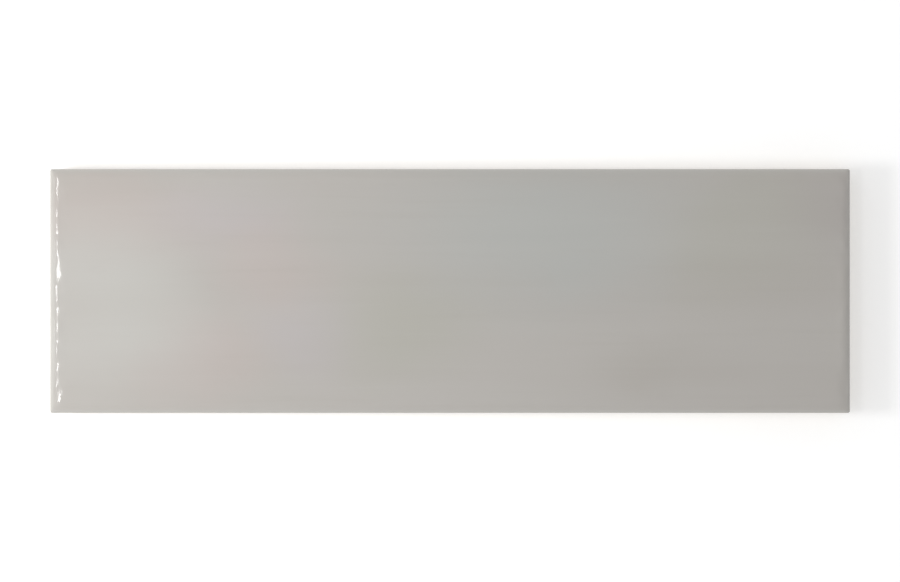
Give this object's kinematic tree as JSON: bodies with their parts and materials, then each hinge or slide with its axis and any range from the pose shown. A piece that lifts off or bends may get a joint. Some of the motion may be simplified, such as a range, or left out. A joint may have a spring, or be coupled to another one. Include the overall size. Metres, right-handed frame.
{
  "type": "subway wall tile",
  "caption": "Oblong glazed ceramic wall tile with a flat glossy face, softly rolled face edges, upright spacer lands and a ribbed back for adhesive.",
  "frame": {"origin": "under the middle of the tile, on the plane that the feet of the back's ribs stand on", "axes": "+X along the tile's length, +Y across its width, +Z out of the glazed face"},
  "size_m": [0.2012, 0.0616, 0.009],
  "materials": {
    "glaze": "gloss, brushed warm grey glaze over a cream biscuit body"
  },
  "bodies": {
    "root": {"wall_tile": "glaze"}
  },
  "joints": []
}
